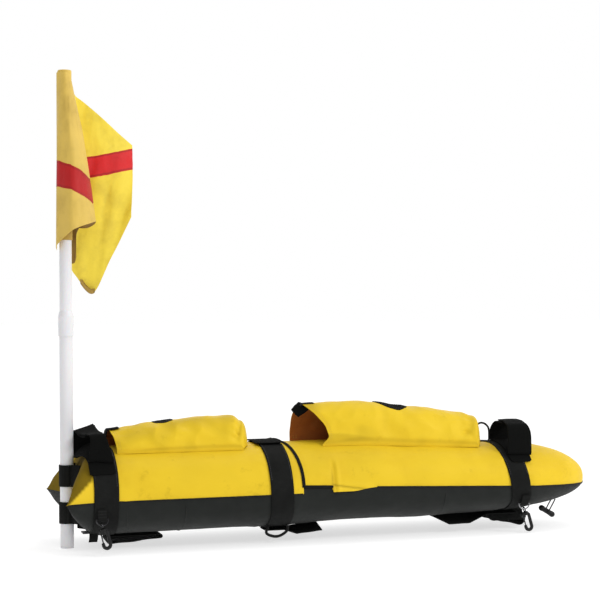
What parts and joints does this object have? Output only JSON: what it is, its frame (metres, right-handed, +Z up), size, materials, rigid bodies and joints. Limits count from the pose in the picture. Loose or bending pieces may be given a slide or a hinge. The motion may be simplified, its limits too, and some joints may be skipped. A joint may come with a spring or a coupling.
{
  "type": "dive flag float",
  "caption": "Torpedo-shaped inflatable float in a fabric cover, with two top pockets, straps, clip hooks and a flag on a two-piece pole at its forked tail.",
  "frame": {"origin": "middle of the part's length and width at the height of the flag pole's foot", "axes": "+X from the forked tail to the nose, +Y to the far side of the hull as pictured, +Z up along the flag pole"},
  "size_m": [1.069, 0.273, 0.8874],
  "materials": {
    "yellow fabric": "coated cloth, satin",
    "charcoal fabric": "plain weave, dull",
    "black webbing": "woven webbing, dull",
    "red fabric": "thin cloth, satin",
    "bladder film": "smooth film",
    "white tube": "smooth",
    "black plastic": "moulded, satin",
    "bright steel": "bright plated"
  },
  "bodies": {
    "hull": {"bladder": "bladder film", "rear_upper_cover": "yellow fabric", "front_upper_cover": "yellow fabric", "lower_cover": "charcoal fabric", "cover_binding": "black webbing", "rear_strap": "black webbing", "middle_strap": "black webbing", "front_strap": "black webbing", "middle_strap_flap": "black webbing", "rear_slider": "black plastic", "middle_slider": "black plastic", "front_slider": "black plastic", "rear_pocket": "yellow fabric", "rear_pocket_tab": "black webbing", "front_pocket": "yellow fabric", "front_pocket_tab": "black webbing", "front_gun_strap": "black webbing", "rear_gun_strap": "black webbing", "front_belly_loop": "black webbing", "rear_belly_loop": "black webbing", "middle_strap_tail": "black webbing", "front_strap_tail": "black webbing", "lift_loop_base": "black webbing", "lift_loop": "black plastic", "upper_pole_loop": "black webbing", "lower_pole_loop": "black webbing", "valve_body": "black plastic", "rear_ring_tab": "black webbing", "front_ring_tab": "black webbing", "stringer_cord": "black webbing"},
    "valve_cap": {"valve_cap": "black plastic"},
    "lower_pole": {"lower_pole": "white tube", "pole_foot": "black plastic"},
    "upper_pole": {"upper_pole": "white tube"},
    "flag": {"flag_sleeve": "yellow fabric", "flag_upper_panel": "yellow fabric", "flag_stripe": "red fabric", "flag_lower_panel": "yellow fabric"},
    "rear_d_ring": {"rear_d_ring": "bright steel"},
    "rear_hook_eye": {"rear_hook_eye": "bright steel"},
    "rear_hook": {"rear_hook": "black plastic"},
    "rear_hook_gate": {"rear_hook_gate": "bright steel"},
    "front_d_ring": {"front_d_ring": "bright steel"},
    "front_hook_eye": {"front_hook_eye": "bright steel"},
    "front_hook": {"front_hook": "black plastic"},
    "front_hook_gate": {"front_hook_gate": "bright steel"},
    "nose_toggle": {"nose_toggle": "black plastic", "nose_cord": "black webbing"}
  },
  "joints": [
    {"name": "pole_slide", "type": "slide", "parent": "hull", "child": "lower_pole", "axis": [0, 0, 1], "range_m": [-0.15, 0.3]},
    {"name": "pole_pull", "type": "slide", "parent": "lower_pole", "child": "upper_pole", "axis": [0, 0, 1], "range_m": [0, 0.06]},
    {"name": "flag_turn", "type": "hinge", "parent": "upper_pole", "child": "flag", "pos_m": [-0.514, 0, 0.7], "axis": [0, 0, 1], "continuous": true},
    {"name": "valve_cap_turn", "type": "hinge", "parent": "hull", "child": "valve_cap", "pos_m": [-0.02, 0.1006, 0.0563], "axis": [0, 0.766, -0.6428], "continuous": true},
    {"name": "rear_ring_swing", "type": "hinge", "parent": "hull", "child": "rear_d_ring", "pos_m": [-0.468, -0.1223, 0.066], "axis": [1, 0, 0], "range_deg": [-90, 10]},
    {"name": "rear_hook_swing", "type": "hinge", "parent": "rear_d_ring", "child": "rear_hook_eye", "pos_m": [-0.468, -0.1223, 0.0555], "axis": [1, 0, 0], "range_deg": [-45, 40]},
    {"name": "rear_hook_swivel", "type": "hinge", "parent": "rear_hook_eye", "child": "rear_hook", "pos_m": [-0.468, -0.1223, 0.0545], "axis": [0.2419, 0, -0.9703], "continuous": true},
    {"name": "rear_gate_open", "type": "hinge", "parent": "rear_hook", "child": "rear_hook_gate", "pos_m": [-0.4707, -0.1223, 0.0416], "axis": [0, 1, 0], "range_deg": [-20, 0], "stiffness_Nm_per_rad": 0.02, "springref_deg": 11.46},
    {"name": "front_ring_swing", "type": "hinge", "parent": "hull", "child": "front_d_ring", "pos_m": [0.364, -0.1027, 0.057], "axis": [1, 0, 0], "range_deg": [-90, 10]},
    {"name": "front_hook_swing", "type": "hinge", "parent": "front_d_ring", "child": "front_hook_eye", "pos_m": [0.364, -0.1027, 0.0465], "axis": [1, 0, 0], "range_deg": [-45, 40]},
    {"name": "front_hook_swivel", "type": "hinge", "parent": "front_hook_eye", "child": "front_hook", "pos_m": [0.364, -0.1027, 0.0455], "axis": [0.2756, 0, -0.9613], "continuous": true},
    {"name": "front_gate_open", "type": "hinge", "parent": "front_hook", "child": "front_hook_gate", "pos_m": [0.3617, -0.1027, 0.0326], "axis": [0, 1, 0], "range_deg": [-20, 0], "stiffness_Nm_per_rad": 0.02, "springref_deg": 11.46},
    {"name": "toggle_swing", "type": "hinge", "parent": "hull", "child": "nose_toggle", "pos_m": [0.4574, -0.038, 0.0577], "axis": [0, 1, 0], "range_deg": [-35, 6]}
  ]
}
